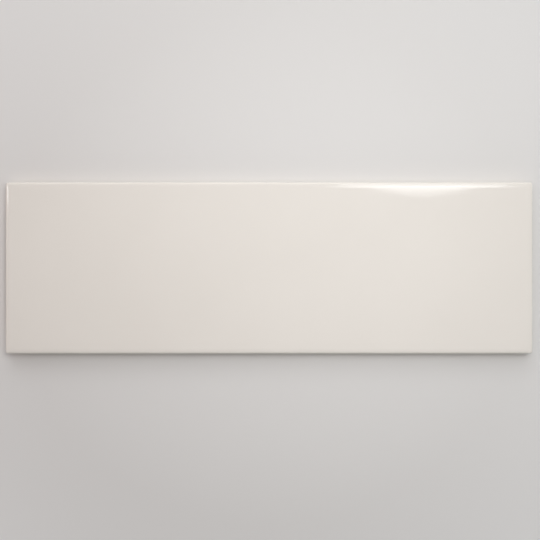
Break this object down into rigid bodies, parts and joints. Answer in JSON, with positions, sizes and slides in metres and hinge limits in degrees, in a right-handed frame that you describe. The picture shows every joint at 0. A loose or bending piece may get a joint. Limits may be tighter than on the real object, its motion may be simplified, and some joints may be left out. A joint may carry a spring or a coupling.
{
  "type": "wall tile",
  "caption": "Long flat ceramic wall tile with a plain glossy off-white face, narrow cushioned edges, drafted sides and a keyed back.",
  "frame": {"origin": "middle of the back, on the plane of the key ribs that the tile lies on", "axes": "+X along the length, +Y across the width, +Z out of the glazed face"},
  "size_m": [0.3016, 0.098, 0.008],
  "materials": {
    "glazed_body": "gloss"
  },
  "bodies": {
    "root": {"tile": "glazed_body"}
  },
  "joints": []
}
